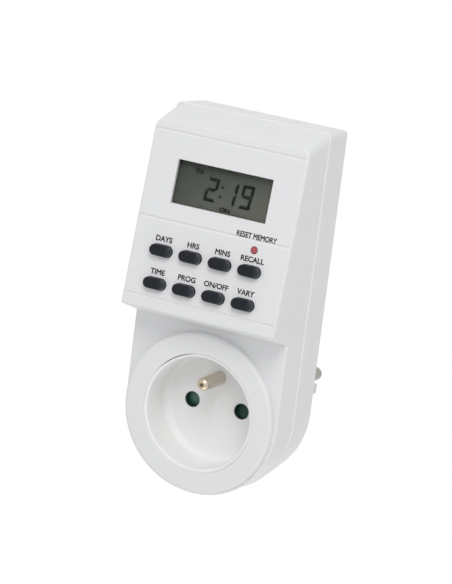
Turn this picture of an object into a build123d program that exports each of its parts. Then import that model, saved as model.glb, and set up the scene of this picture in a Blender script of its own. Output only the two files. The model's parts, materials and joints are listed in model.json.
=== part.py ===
from build123d import *
import os
from math import cos, radians, sin, tan

# Plug-in timer switch. +X is to the right seen from the front, +Y runs back into the wall outlet, +Z is up.
# The origin is the middle of the plug's face, half way between its two pins.

# Cuts and fits
overrun = 0.5
press_clear = 0.02
slide_clear = 0.05
part_clear = 0.15
run_gap = 0.3

# Body
ring_width = 7.35
ring_margin = 1.0
wall = 2.0
corner_radius = 3.0
edge_radius = 0.8
top_slope = 15.4
front_depth = 12.4
rear_depth = 18.5
socket_drop = 2.5
ledge_gap = 1.1
chin_lift = 4.5
chin_reach = 12.3

# Control panel, with heights measured along the panel from its lower edge
panel_lean = 9.6
groove_width = 1.1
groove_depth = 0.3
lower_groove_rise = 4.1
middle_groove_gap = 3.2
upper_groove_drop = 3.2

# Rear cover
rim_step = 0.5
rim_chamfer = 0.55
cover_draft = 5.4
cover_edge_radius = 2.2
tongue_thickness = 0.8
tongue_height = 1.5
pedestal_height = 6.0
pedestal_wall = 2.25
pedestal_draft = 4.0
pedestal_edge_radius = 1.5

# Housing screws
screw_radius = 1.3
screw_head_radius = 2.0
screw_head_height = 1.6
screw_recess = 5.0
screw_bite = 5.5
post_radius = 2.4
cover_post_radius = 3.1
upper_post_length = 6.2
upper_screw_inset = 6.1
upper_screw_drop = 5.2
lower_screw_angle = 45.0

# Socket
ring_height = 2.7
ring_edge_radius = 1.3
bore_edge_radius = 0.4
recess_depth = 14.9
cup_radius = 20.6
cup_wall = 1.1
cup_floor = 2.2
cup_setback = 0.4
mouth_round = 0.8
cup_flange_width = 1.0
cup_flange_thickness = 1.5
floor_round = 2.4
floor_disc_radius = 2.1
floor_disc_height = 0.3
pin_spacing = 19.0
hole_radius = 2.75
hole_chamfer = 0.4
earth_offset = 10.0
earth_radius = 2.4
earth_length = 14.0
earth_tip_radius = 2.2
earth_root_radius = 2.0
earth_shoulder_radius = 3.1
earth_stub_radius = 1.6

# Shutter and its spring
blade_overlap = 0.75
blade_width = 6.8
blade_thickness = 1.6
ramp_drop = 1.0
hub_radius = 4.2
pivot_radius = 1.9
spring_inner_radius = 4.6
spring_wire = 0.7

# Contacts and strips
carrier_thickness = 2.0
contact_bore_radius = 2.6
contact_wall = 0.6
contact_flange_radius = 4.3
contact_flange_thickness = 0.8
contact_length = 10.5
contact_slit = 0.6
contact_slit_length = 6.0
strip_thickness = 0.8
strip_width = 3.0
strip_side_step = 1.7
neutral_strip_width = 4.0
strip_lap = 0.6
strip_lift = 5.0
strip_bend = 8.0
strip_board_lap = 3.0
earth_strip_width = 6.0
earth_link_rise = 6.0

# Plug
boss_height = 17.0
boss_radius = 18.5
boss_flat = 15.2
boss_collar = 3.0
boss_edge_radius = 0.6
guide_width = 3.4
boss_flange_width = 1.1
boss_flange_thickness = 1.5
pin_radius = 2.4
pin_length = 19.0
pin_tip_radius = 1.4
pin_root_radius = 2.0
channel_depth = 2.3
clip_seat = 0.6
clip_bow = 1.7
clip_end = 1.2
clip_peak = 7.0
clip_root = 14.0
sleeve_depth = 16.0
sleeve_setback = 3.0
sleeve_wall = 0.4
sleeve_floor = 1.0

# Keys and reset button
key_width = 7.9
key_height = 3.8
key_cap_rise = 2.3
key_edge_radius = 0.6
key_column_count = 4
key_pitch = 11.12
key_row_rise = 9.0
key_block_x = -0.8
key_row_pitch = 11.3
key_clear = 0.2
key_flange = 0.8
key_flange_thickness = 1.0
key_stem_radius = 1.3
key_stem_length = 1.4
key_travel = 0.8
reset_gap = 7.2
reset_radius = 1.15
reset_cap_rise = 0.2
reset_edge_radius = 0.3

# Keypad mat
mat_thickness = 0.8
mat_end_margin = 4.4
dome_height = 0.7
dome_foot_radius = 2.3
dome_top_radius = 1.5

# Display
window_width = 35.8
window_height = 15.0
window_gap = 6.1
window_top_margin = 12.0
window_setback = 0.8
window_flange = 1.5
window_flange_thickness = 1.0
display_thickness = 2.2
frame_wall = 1.8
strip_contact_width = 1.8
strip_contact_inset = 0.6

# Control board
board_thickness = 1.6
control_post_radius = 2.2
control_post_inset = 2.0
control_upper_post_drop = 6.4
control_lower_margin = 3.4
control_upper_margin = 2.6
board_screw_radius = 0.9
board_screw_head_radius = 1.7
board_screw_head_height = 1.1
board_screw_bite = 3.0
processor_radius = 6.0
processor_height = 1.6
processor_taper = 45.0
processor_inset = 16.0
processor_drop = 2.3
crystal_radius = 1.05
crystal_length = 6.2
crystal_inset = 17.0
crystal_lift = 1.7
cell_radius = 7.8
cell_height = 5.4
cell_edge_radius = 0.8
cell_inset = 14.0
cell_lift = 3.7

# Power board and what stands on it
power_post_height = 1.2
power_post_radius = 2.2
power_post_inset = 4.0
power_bottom_gap = 10.4
power_top_margin = 2.6
power_column_inset = 9.8
relay_width = 15.3
relay_length = 19.0
relay_height = 15.5
relay_edge_radius = 0.8
film_width = 8.5
film_length = 18.0
film_height = 14.5
film_edge_radius = 1.2
can_radius = 5.0
can_height = 12.0
can_neck = 0.5
can_neck_rise = 2.0
varistor_radius = 5.0
varistor_thickness = 4.4
varistor_lift = 0.6
varistor_leg_radius = 0.5
varistor_leg_spacing = 5.0
diode_radius = 1.35
diode_length = 5.2
diode_count = 2
diode_pitch = 4.2
diode_drop = 5.8
fuse_radius = 2.4
fuse_length = 10.0
resistor_radius = 1.9
resistor_length = 9.5

# Ribbon cable
ribbon_width = 10.0
ribbon_thickness = 0.8
ribbon_bend = 3.0
ribbon_lead = 6.0
ribbon_power_share = 0.57

# Widths and radii that follow from the socket and the plug
cup_bore_radius = cup_radius + slide_clear
ring_radius = cup_bore_radius + ring_width
half_width = ring_radius + ring_margin
body_width = 2 * half_width
recess_radius = cup_radius - cup_wall
cup_flange_radius = cup_radius + cup_flange_width
blade_reach = pin_spacing / 2 + hole_radius + blade_overlap
boss_flange_radius = boss_radius + boss_flange_width
pedestal_radius = boss_flange_radius + part_clear + pedestal_wall

# Heights along the panel, from its lower edge upwards
key_top_row_rise = key_row_rise + key_row_pitch
reset_rise = key_top_row_rise + reset_gap
middle_groove_rise = reset_rise + middle_groove_gap
window_rise = middle_groove_rise + window_gap + window_height / 2
panel_length = window_rise + window_height / 2 + window_top_margin

# Places along the depth, from the plug's face towards the front
rear_y = -(boss_height + pedestal_height)
parting_y = rear_y - rear_depth
lower_y = parting_y - front_depth
ring_y = lower_y - ring_height
chin_y = lower_y - chin_reach
floor_y = ring_y + recess_depth
floor_back_y = floor_y + cup_floor
shutter_y = floor_back_y + run_gap
shutter_back_y = shutter_y + blade_thickness
carrier_y = shutter_back_y + spring_wire + 2 * run_gap
carrier_back_y = carrier_y + carrier_thickness
contact_back_y = carrier_back_y + contact_flange_thickness
boss_flange_back_y = -(boss_height + wall)
boss_flange_y = boss_flange_back_y - boss_flange_thickness
rear_inner_y = rear_y - wall
power_back_y = rear_inner_y - power_post_height
power_front_y = power_back_y - board_thickness

# Places along the height
socket_z = -socket_drop
bottom_z = socket_z - half_width
ledge_z = socket_z + half_width + ledge_gap
chin_z = ledge_z + chin_lift
panel_top_y = chin_y + panel_length * sin(radians(panel_lean))
panel_top_z = chin_z + panel_length * cos(radians(panel_lean))
top_z = panel_top_z + (parting_y - panel_top_y) * tan(radians(top_slope))
earth_z = socket_z + earth_offset

# Sizes that follow from the fits
cover_half = half_width + rim_step
tongue_inset = rim_step + wall + part_clear + tongue_height * tan(radians(top_slope))
cover_wall = tongue_inset + tongue_thickness
board_depth = wall + part_clear + key_flange_thickness + key_stem_length
board_depth += key_travel + slide_clear + dome_height + mat_thickness
board_back = board_depth + board_thickness
contact_radius = contact_bore_radius + contact_wall

# The leaning panel's own plane, with its origin on the lower edge
panel = Plane(
    origin=(0, chin_y, chin_z),
    x_dir=(1, 0, 0),
    z_dir=(0, -cos(radians(panel_lean)), sin(radians(panel_lean))),
)
panel_axis = Axis((0, 0, 0), panel.z_dir)
top_edge_axis = Axis((0, 0, 0), (0, cos(radians(top_slope)), sin(radians(top_slope))))
chin_edge_axis = Axis((0, 0, 0), (0, lower_y - chin_y, ledge_z - chin_z))
socket_axis = Axis((0, 0, socket_z), (0, 1, 0))

# Patterns
key_columns = [
    key_block_x + (column - (key_column_count - 1) / 2) * key_pitch
    for column in range(key_column_count)
]
key_rows = [key_row_rise, key_top_row_rise]
key_places = [(x, rise) for rise in reversed(key_rows) for x in key_columns]
reset_place = (key_columns[-1], reset_rise)
upper_screw_z = top_z - upper_screw_drop
upper_screws = [(side * (half_width - upper_screw_inset), upper_screw_z) for side in (-1, 1)]
lower_screw_distance = cup_flange_radius + part_clear + post_radius
lower_screw_x = lower_screw_distance * cos(radians(lower_screw_angle))
lower_screw_z = socket_z - lower_screw_distance * sin(radians(lower_screw_angle))
lower_screws = [(side * lower_screw_x, lower_screw_z) for side in (-1, 1)]
control_width = body_width - 2 * (wall + run_gap)
control_post_x = control_width / 2 - control_post_inset
control_posts = [
    (side * control_post_x, rise)
    for side in (-1, 1)
    for rise in (key_row_rise + key_row_pitch / 2, panel_length - control_upper_post_drop)
]
power_width = 2 * (cover_half - cover_wall - run_gap)
power_bottom_z = boss_flange_radius + power_bottom_gap
power_height = upper_screw_z - cover_post_radius - power_top_margin - power_bottom_z
power_column_x = power_width / 2 - power_column_inset
power_post_x = power_width / 2 - power_post_inset
power_posts = [
    (side * power_post_x, power_bottom_z + rise)
    for side in (-1, 1)
    for rise in (power_post_inset, power_height - power_post_inset)
]


# A plane across the depth at y that faces the front, with x to the right and z up.
def facing(y):
    return Plane(origin=(0, y, 0), x_dir=(1, 0, 0), z_dir=(0, -1, 0))


# The front housing's solid form, drawn in by an even inset and closed at back_y.
def front_mass(inset, back_y):
    back_top_z = panel_top_z + (back_y - panel_top_y) * tan(radians(top_slope))
    with BuildPart() as mass:
        with BuildSketch(Plane.YZ):
            with BuildLine():
                Polyline(
                    (back_y, bottom_z),
                    (lower_y, bottom_z),
                    (lower_y, ledge_z),
                    (chin_y, chin_z),
                    (panel_top_y, panel_top_z),
                    (back_y, back_top_z),
                    close=True,
                )
            make_face()
            if inset:
                offset(amount=-inset, kind=Kind.INTERSECTION)
        extrude(amount=half_width - inset, both=True)
        with BuildSketch(facing(back_y)):
            with Locations((0, socket_z)):
                Circle(half_width - inset)
                Rectangle(
                    2 * (half_width - inset),
                    back_top_z - socket_z,
                    align=(Align.CENTER, Align.MIN),
                )
        extrude(amount=back_y - chin_y, mode=Mode.INTERSECT)
    return mass.part


# The rear cover's outline, drawn in by an even inset.
def cover_outline(inset):
    with BuildSketch() as outline:
        with Locations((0, socket_z)):
            Circle(cover_half - inset)
            Rectangle(
                2 * (cover_half - inset),
                top_z + rim_step - inset - socket_z,
                align=(Align.CENTER, Align.MIN),
            )
        fillet(outline.vertices().group_by(Axis.Y)[-1], corner_radius)
    return outline.sketch


# A flat strip bent in the plane of depth and height, centred on x.
def bent_strip(path, thickness, width, x=0):
    with BuildPart() as strip:
        with BuildSketch(Plane.YZ.offset(x)):
            with BuildLine():
                Polyline(*path)
            trace(line_width=thickness)
        extrude(amount=width / 2, both=True)
    return strip


outer_form = front_mass(0, parting_y)
inner_form = front_mass(wall, parting_y + wall + overrun)

# Front housing
with BuildPart() as front_housing:
    add(outer_form)
    fillet(front_housing.edges().filter_by(top_edge_axis), corner_radius)
    panel_edges = front_housing.faces().filter_by(panel).sort_by(Axis.Y)[0].edges()
    chin_edges = front_housing.edges().filter_by(chin_edge_axis)
    lower_face = front_housing.faces().filter_by(Plane.XZ).sort_by(Axis.Y)[0]
    lower_edges = lower_face.edges().sort_by(Axis.Z)[:-1]
    fillet(panel_edges + chin_edges + lower_edges, edge_radius)
    with BuildSketch(facing(lower_y)):
        with Locations((0, socket_z)):
            Circle(ring_radius)
    extrude(amount=ring_height)
    ring_rim = front_housing.faces().filter_by(Plane.XZ).sort_by(Axis.Y)[0]
    fillet(ring_rim.edges(), ring_edge_radius)
    add(inner_form, mode=Mode.SUBTRACT)
    with BuildSketch(panel.offset(-board_depth)):
        with Locations(*control_posts):
            Circle(control_post_radius)
    extrude(amount=board_depth - wall / 2)
    with BuildSketch(facing(parting_y)):
        with Locations(*upper_screws):
            Circle(post_radius)
    extrude(amount=upper_post_length)
    with BuildSketch(facing(parting_y)):
        with Locations(*lower_screws):
            Circle(post_radius)
    extrude(amount=front_depth - wall / 2)
    with BuildSketch(facing(parting_y)):
        with Locations(*upper_screws, *lower_screws):
            Circle(screw_radius + press_clear)
    extrude(amount=screw_bite + overrun, mode=Mode.SUBTRACT)
    with BuildSketch(panel.offset(-board_depth)):
        with Locations(*control_posts):
            Circle(board_screw_radius + press_clear)
    extrude(amount=board_screw_bite + overrun, mode=Mode.SUBTRACT)
    with BuildSketch(panel.offset(overrun)):
        with Locations((0, window_rise)):
            Rectangle(window_width, window_height)
        with Locations(*key_places):
            SlotOverall(key_width + 2 * key_clear, key_height + 2 * key_clear)
        with Locations(reset_place):
            Circle(reset_radius + key_clear)
    extrude(amount=-(wall + 2 * overrun), mode=Mode.SUBTRACT)
    for groove_rise in (lower_groove_rise, middle_groove_rise, panel_length - upper_groove_drop):
        groove_middle = panel.from_local_coords((0, groove_rise, 0))
        with BuildSketch(Plane(origin=groove_middle, x_dir=panel.y_dir, z_dir=panel.x_dir)):
            with BuildLine():
                Polyline(
                    (-groove_width / 2, overrun),
                    (groove_width / 2, overrun),
                    (groove_width / 2, 0),
                    (0, -groove_depth),
                    (-groove_width / 2, 0),
                    close=True,
                )
            make_face()
        extrude(amount=half_width - edge_radius, both=True, mode=Mode.SUBTRACT)
    with BuildSketch(facing(ring_y - overrun)):
        with Locations((0, socket_z)):
            Circle(cup_bore_radius)
    extrude(amount=-(ring_height + wall + 2 * overrun), mode=Mode.SUBTRACT)
    fillet(front_housing.edges(Select.LAST).sort_by(Axis.Y)[0], bore_edge_radius)

# Rear cover
cover_outer = cover_outline(0)
cover_inner = cover_outline(cover_wall)
tongue_outer = cover_outline(tongue_inset)
with BuildPart() as rear_cover:
    with BuildSketch(facing(parting_y)):
        add(cover_outer)
    extrude(amount=-rear_depth, taper=cover_draft)
    fillet(rear_cover.faces().sort_by(Axis.Y)[-1].edges(), cover_edge_radius)
    chamfer(rear_cover.faces().sort_by(Axis.Y)[0].edges(), rim_chamfer)
    with BuildSketch(facing(rear_y)):
        Circle(pedestal_radius)
    extrude(amount=-pedestal_height, taper=pedestal_draft)
    fillet(rear_cover.faces().sort_by(Axis.Y)[-1].edges(), pedestal_edge_radius)
    with BuildSketch(facing(parting_y)):
        add(cover_inner)
    extrude(amount=-(rear_depth - wall), mode=Mode.SUBTRACT)
    with BuildSketch(facing(rear_inner_y)):
        Circle(boss_flange_radius + part_clear)
    extrude(amount=-pedestal_height, mode=Mode.SUBTRACT)
    with BuildSketch(facing(boss_flange_back_y)):
        Circle(boss_radius + slide_clear)
    extrude(amount=-(wall + overrun), mode=Mode.SUBTRACT)
    with BuildSketch(facing(parting_y)):
        add(tongue_outer)
        add(cover_inner, mode=Mode.SUBTRACT)
        with Locations(*upper_screws, *lower_screws):
            Circle(cover_post_radius + part_clear, mode=Mode.SUBTRACT)
    extrude(amount=tongue_height)
    with BuildSketch(facing(parting_y)):
        with Locations(*upper_screws, *lower_screws):
            Circle(cover_post_radius)
    extrude(amount=-(rear_depth - wall / 2))
    with BuildSketch(facing(power_back_y)):
        with Locations(*power_posts):
            Circle(power_post_radius)
    extrude(amount=-(power_post_height + wall / 2))
    with BuildSketch(facing(parting_y - overrun)):
        with Locations(*upper_screws, *lower_screws):
            Circle(screw_radius + slide_clear)
    extrude(amount=-(rear_depth + 2 * overrun), mode=Mode.SUBTRACT)
    with BuildSketch(facing(rear_y + overrun)):
        with Locations(*upper_screws, *lower_screws):
            Circle(screw_head_radius + part_clear)
    extrude(amount=screw_recess + overrun, mode=Mode.SUBTRACT)
    with BuildSketch(facing(power_back_y)):
        with Locations(*power_posts):
            Circle(board_screw_radius + press_clear)
    extrude(amount=-(power_post_height + wall / 2), mode=Mode.SUBTRACT)

# Housing screws
with BuildPart() as housing_screws:
    with BuildSketch(facing(rear_y - screw_recess)):
        with Locations(*upper_screws, *lower_screws):
            Circle(screw_radius)
    extrude(amount=rear_depth - screw_recess + screw_bite)
    with BuildSketch(facing(rear_y - screw_recess)):
        with Locations(*upper_screws, *lower_screws):
            Circle(screw_head_radius)
    extrude(amount=-screw_head_height)

# Socket cup: recess, floor with the pin holes, and the skirt behind it
with BuildPart() as socket_cup:
    with BuildSketch(Plane.YZ) as cup_profile:
        with BuildLine():
            Polyline(
                (ring_y + cup_setback, socket_z + cup_radius),
                (lower_y + wall, socket_z + cup_radius),
                (lower_y + wall, socket_z + cup_flange_radius),
                (lower_y + wall + cup_flange_thickness, socket_z + cup_flange_radius),
                (lower_y + wall + cup_flange_thickness, socket_z + cup_radius),
                (carrier_back_y, socket_z + cup_radius),
                (carrier_back_y, socket_z + recess_radius),
                (floor_back_y, socket_z + recess_radius),
                (floor_back_y, socket_z),
                (floor_y - floor_disc_height, socket_z),
                (floor_y - floor_disc_height, socket_z + floor_disc_radius),
                (floor_y, socket_z + floor_disc_radius),
                (floor_y, socket_z + recess_radius),
                (ring_y + cup_setback, socket_z + recess_radius),
                close=True,
            )
        make_face()
        floor_corner = (floor_y, socket_z + recess_radius)
        mouth_corner = (ring_y + cup_setback, socket_z + recess_radius)
        fillet(cup_profile.vertices().sort_by_distance(floor_corner)[0], floor_round)
        fillet(cup_profile.vertices().sort_by_distance(mouth_corner)[0], mouth_round)
    revolve(axis=socket_axis)
    with BuildSketch(facing(floor_y - overrun)):
        with Locations((0, earth_z)):
            Circle(earth_root_radius + press_clear)
    extrude(amount=-(cup_floor + 2 * overrun), mode=Mode.SUBTRACT)
    with BuildSketch(facing(floor_y - overrun)):
        with Locations((0, socket_z)):
            with GridLocations(pin_spacing, 0, 2, 1):
                Circle(hole_radius)
    extrude(amount=-(cup_floor + 2 * overrun), mode=Mode.SUBTRACT)
    chamfer(socket_cup.edges(Select.LAST).filter_by(GeomType.CIRCLE).group_by(Axis.Y)[0], hole_chamfer)

# Socket earth pin, riveted through the floor and the carrier
with BuildPart() as socket_earth_pin:
    with BuildSketch(facing(floor_y)):
        with Locations((0, earth_z)):
            Circle(earth_radius)
    extrude(amount=earth_length)
    fillet(socket_earth_pin.edges().filter_by(GeomType.CIRCLE).sort_by(Axis.Y)[0], earth_tip_radius)
    with BuildSketch(facing(floor_back_y)):
        with Locations((0, earth_z)):
            Circle(earth_root_radius)
    extrude(amount=cup_floor)
    with BuildSketch(facing(carrier_y)):
        with Locations((0, earth_z)):
            Circle(earth_shoulder_radius)
    extrude(amount=carrier_y - floor_back_y)
    with BuildSketch(facing(carrier_back_y + strip_thickness)):
        with Locations((0, earth_z)):
            Circle(earth_stub_radius)
    extrude(amount=carrier_thickness + strip_thickness)

# Shutter: two ramped blades on one hub
with BuildPart() as shutter:
    with BuildSketch(facing(shutter_back_y)):
        with Locations((0, socket_z)):
            Circle(blade_reach)
            Rectangle(2 * blade_reach, blade_width, mode=Mode.INTERSECT)
            Circle(hub_radius)
    extrude(amount=blade_thickness)
    for side in (-1, 1):
        with BuildSketch(Plane.YZ):
            with BuildLine():
                Polyline(
                    (shutter_y, socket_z - side * blade_width / 2),
                    (shutter_y, socket_z + side * blade_width / 2),
                    (shutter_y + ramp_drop, socket_z + side * blade_width / 2),
                    close=True,
                )
            make_face()
        extrude(amount=side * (blade_reach + overrun), mode=Mode.SUBTRACT)
    with BuildSketch(facing(carrier_y - run_gap)):
        with Locations((0, socket_z)):
            Circle(hub_radius)
    extrude(amount=carrier_y - run_gap - shutter_y)
    with BuildSketch(facing(carrier_y)):
        with Locations((0, socket_z)):
            Circle(pivot_radius + slide_clear)
    extrude(amount=carrier_y - floor_back_y, mode=Mode.SUBTRACT)

# Shutter spring, a flat closed coil round the hub
with BuildPart() as shutter_spring:
    with BuildSketch(facing(carrier_y)):
        with Locations((0, socket_z)):
            Circle(spring_inner_radius + spring_wire)
            Circle(spring_inner_radius, mode=Mode.SUBTRACT)
    extrude(amount=spring_wire)

# Contact carrier with the shutter's pivot post
with BuildPart() as contact_carrier:
    with BuildSketch(facing(carrier_back_y)):
        with Locations((0, socket_z)):
            Circle(recess_radius - slide_clear)
            with GridLocations(pin_spacing, 0, 2, 1):
                Circle(contact_radius + press_clear, mode=Mode.SUBTRACT)
        with Locations((0, earth_z)):
            Circle(earth_stub_radius + press_clear, mode=Mode.SUBTRACT)
    extrude(amount=carrier_thickness)
    with BuildSketch(facing(carrier_back_y)):
        with Locations((0, socket_z)):
            Circle(pivot_radius)
    extrude(amount=carrier_back_y - floor_back_y - slide_clear)


# A slit sleeve that grips one pin of the appliance's plug.
def pin_contact(x):
    with BuildPart() as contact:
        with BuildSketch(facing(carrier_y + contact_length)):
            with Locations((x, socket_z)):
                Circle(contact_radius)
        extrude(amount=contact_length)
        with BuildSketch(facing(contact_back_y)):
            with Locations((x, socket_z)):
                Circle(contact_flange_radius)
        extrude(amount=contact_flange_thickness)
        with BuildSketch(facing(carrier_y + contact_length + overrun)):
            with Locations((x, socket_z)):
                Circle(contact_bore_radius)
        extrude(amount=contact_length + 2 * overrun, mode=Mode.SUBTRACT)
        with BuildSketch(facing(carrier_y + contact_length + overrun)):
            with Locations((x, socket_z)):
                Rectangle(2 * contact_radius + overrun, contact_slit)
        extrude(amount=contact_slit_length + overrun, mode=Mode.SUBTRACT)
    return contact


line_contact = pin_contact(-pin_spacing / 2)
neutral_contact = pin_contact(pin_spacing / 2)

# Strips: live feed, switched load, neutral and earth
strip_front_y = contact_back_y + strip_thickness / 2
strip_back_y = boss_flange_y - strip_thickness / 2
strip_board_y = power_front_y - strip_thickness / 2
load_strip = bent_strip(
    [
        (strip_front_y, socket_z + contact_radius + strip_lap),
        (strip_front_y, power_bottom_z - strip_bend),
        (strip_board_y, power_bottom_z - strip_lap),
        (strip_board_y, power_bottom_z + strip_board_lap),
    ],
    strip_thickness,
    strip_width,
    -pin_spacing / 2 + strip_side_step,
)
line_strip = bent_strip(
    [
        (strip_back_y, strip_lap),
        (strip_back_y, strip_lift),
        (strip_board_y, strip_lift),
        (strip_board_y, power_bottom_z + strip_board_lap),
    ],
    strip_thickness,
    strip_width,
    -pin_spacing / 2 - strip_side_step,
)
neutral_strip = bent_strip(
    [
        (strip_front_y, socket_z + contact_radius + strip_lap),
        (strip_front_y, strip_lift),
        (strip_back_y, strip_lift),
        (strip_back_y, strip_lap),
    ],
    strip_thickness,
    neutral_strip_width,
    pin_spacing / 2,
)
earth_bracket_front_y = boss_flange_y - strip_thickness
with BuildPart() as earth_link:
    with BuildSketch(Plane.YZ):
        with BuildLine():
            Polyline(
                (carrier_back_y + strip_thickness / 2, earth_z - earth_shoulder_radius),
                (carrier_back_y + strip_thickness / 2, earth_z + earth_link_rise),
                (earth_bracket_front_y, earth_z + earth_link_rise),
            )
        trace(line_width=strip_thickness)
    extrude(amount=earth_strip_width / 2, both=True)
    with BuildSketch(facing(carrier_back_y - overrun)):
        with Locations((0, earth_z)):
            Circle(earth_stub_radius + press_clear)
    extrude(amount=-(strip_thickness + 2 * overrun), mode=Mode.SUBTRACT)

# Earth bracket: the plug's two side clips joined behind its flange
clip_z = boss_radius - channel_depth + clip_seat
clip_half = [
    (-clip_end, clip_z),
    (-clip_peak, clip_z + clip_bow),
    (-clip_root, clip_z),
    (strip_back_y, clip_z),
]
earth_bracket = bent_strip(
    clip_half + [(y, -z) for y, z in reversed(clip_half)],
    strip_thickness,
    earth_strip_width,
)

# Plug boss: round collar, flats with a guide rib on each side, channels for the earth clips
with BuildPart() as plug_boss:
    with BuildSketch(facing(boss_flange_y)):
        Circle(boss_flange_radius)
    extrude(amount=-boss_flange_thickness)
    with BuildSketch(facing(boss_flange_back_y)):
        Circle(boss_radius)
    extrude(amount=-(wall + boss_collar))
    with BuildSketch(facing(-boss_height + boss_collar)):
        Circle(boss_radius)
        Rectangle(2 * boss_flat, 2 * boss_radius, mode=Mode.INTERSECT)
        Rectangle(2 * boss_radius, guide_width)
    extrude(amount=-(boss_height - boss_collar))
    fillet(plug_boss.faces().sort_by(Axis.Y)[-1].edges(), boss_edge_radius)
    with BuildSketch(facing(boss_flange_y)):
        for side in (-1, 1):
            with Locations((0, side * (boss_radius - channel_depth + boss_flange_radius / 2))):
                Rectangle(earth_strip_width + 2 * run_gap, boss_flange_radius)
    extrude(amount=boss_flange_y - overrun, mode=Mode.SUBTRACT)
    with BuildSketch(facing(boss_flange_y)):
        with GridLocations(pin_spacing, 0, 2, 1):
            Circle(pin_root_radius + press_clear)
        with Locations((0, earth_offset)):
            Circle(earth_stub_radius + press_clear)
    extrude(amount=boss_flange_y - overrun, mode=Mode.SUBTRACT)
    with BuildSketch(facing(-sleeve_depth)):
        with Locations((0, earth_offset)):
            Circle(contact_bore_radius + sleeve_wall + press_clear)
    extrude(amount=-(sleeve_depth + overrun), mode=Mode.SUBTRACT)


# One of the plug's round pins, with a thinner root from the plug's face to the flange.
def plug_pin(x):
    with BuildPart() as pin:
        with BuildSketch(facing(0)):
            with Locations((x, 0)):
                Circle(pin_radius)
        extrude(amount=-pin_length)
        fillet(pin.edges().filter_by(GeomType.CIRCLE).sort_by(Axis.Y)[-1], pin_tip_radius)
        with BuildSketch(facing(boss_flange_y)):
            with Locations((x, 0)):
                Circle(pin_root_radius)
        extrude(amount=boss_flange_y)
    return pin


line_pin = plug_pin(-pin_spacing / 2)
neutral_pin = plug_pin(pin_spacing / 2)

# Earth sleeve of the plug, which takes the outlet's earth pin
with BuildPart() as plug_earth_sleeve:
    with BuildSketch(facing(-sleeve_depth)):
        with Locations((0, earth_offset)):
            Circle(contact_bore_radius + sleeve_wall)
    extrude(amount=-(sleeve_depth - sleeve_setback))
    with BuildSketch(facing(-sleeve_depth + sleeve_floor)):
        with Locations((0, earth_offset)):
            Circle(contact_bore_radius)
    extrude(amount=-sleeve_depth, mode=Mode.SUBTRACT)
    with BuildSketch(facing(-sleeve_depth)):
        with Locations((0, earth_offset)):
            Circle(earth_stub_radius)
    extrude(amount=-(boss_flange_y + sleeve_depth))


# A key: rounded cap, retaining flange behind the panel, and a stem over its dome.
def push_key(place, cap, flange, rise, edge):
    with BuildPart() as key:
        with BuildSketch(panel.offset(-(wall + part_clear))):
            with Locations(place):
                add(cap)
        extrude(amount=wall + part_clear + rise)
        fillet(key.faces().filter_by(panel).sort_by(panel_axis)[-1].edges(), edge)
        with BuildSketch(panel.offset(-(wall + part_clear))):
            with Locations(place):
                add(flange)
        extrude(amount=-key_flange_thickness)
        with BuildSketch(panel.offset(-(wall + part_clear + key_flange_thickness))):
            with Locations(place):
                Circle(key_stem_radius)
        extrude(amount=-key_stem_length)
    return key


with BuildSketch() as key_cap:
    SlotOverall(key_width, key_height)
with BuildSketch() as key_rim:
    SlotOverall(key_width + 2 * key_flange, key_height + 2 * key_flange)
with BuildSketch() as reset_cap:
    Circle(reset_radius)
with BuildSketch() as reset_rim:
    Circle(reset_radius + key_flange)

key_names = [
    "day_key", "hour_key", "minute_key", "recall_key",
    "clock_key", "program_key", "mode_key", "random_key",
]
keys = {
    name: push_key(place, key_cap.sketch, key_rim.sketch, key_cap_rise, key_edge_radius)
    for name, place in zip(key_names, key_places)
}
reset_button = push_key(reset_place, reset_cap.sketch, reset_rim.sketch, reset_cap_rise, reset_edge_radius)

# Keypad mat: a sheet on the control board with a dome under each key and the reset button
mat_width = 2 * (control_post_x - control_post_radius - run_gap)
mat_top = window_rise - window_height / 2 - window_flange - frame_wall - run_gap
mat_bottom = key_row_rise - mat_end_margin
with BuildPart() as keypad_mat:
    with BuildSketch(panel.offset(-board_depth)):
        with Locations((0, mat_bottom)):
            Rectangle(mat_width, mat_top - mat_bottom, align=(Align.CENTER, Align.MIN))
    extrude(amount=mat_thickness)
    for dome_place in key_places + [reset_place]:
        with BuildSketch(panel.offset(-board_depth + mat_thickness)):
            with Locations(dome_place):
                Circle(dome_foot_radius)
        with BuildSketch(panel.offset(-board_depth + mat_thickness + dome_height)):
            with Locations(dome_place):
                Circle(dome_top_radius)
        loft()

# Display window, stepped into the panel from behind
display_front = wall + window_flange_thickness
with BuildPart() as display_window:
    with BuildSketch(panel.offset(-wall)):
        with Locations((0, window_rise)):
            Rectangle(window_width - 2 * part_clear, window_height - 2 * part_clear)
    extrude(amount=wall - window_setback)
    with BuildSketch(panel.offset(-wall)):
        with Locations((0, window_rise)):
            Rectangle(window_width + 2 * window_flange, window_height + 2 * window_flange)
    extrude(amount=-window_flange_thickness)

# Display panel, its frame and the contact strips under its long edges
display_width = window_width + 2 * window_flange
display_height = window_height + 2 * window_flange
with BuildPart() as display_panel:
    with BuildSketch(panel.offset(-display_front)):
        with Locations((0, window_rise)):
            Rectangle(display_width, display_height)
    extrude(amount=-display_thickness)
with BuildPart() as display_frame:
    with BuildSketch(panel.offset(-board_depth)):
        with Locations((0, window_rise)):
            Rectangle(display_width + 2 * frame_wall, display_height + 2 * frame_wall)
            Rectangle(
                display_width + 2 * part_clear,
                display_height + 2 * part_clear,
                mode=Mode.SUBTRACT,
            )
    extrude(amount=board_depth - wall - part_clear)
with BuildPart() as display_contacts:
    with BuildSketch(panel.offset(-board_depth)):
        with Locations((0, window_rise)):
            row_step = display_height - strip_contact_width - 2 * strip_contact_inset
            with GridLocations(0, row_step, 1, 2):
                Rectangle(window_width, strip_contact_width)
    extrude(amount=board_depth - display_front - display_thickness)

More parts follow.
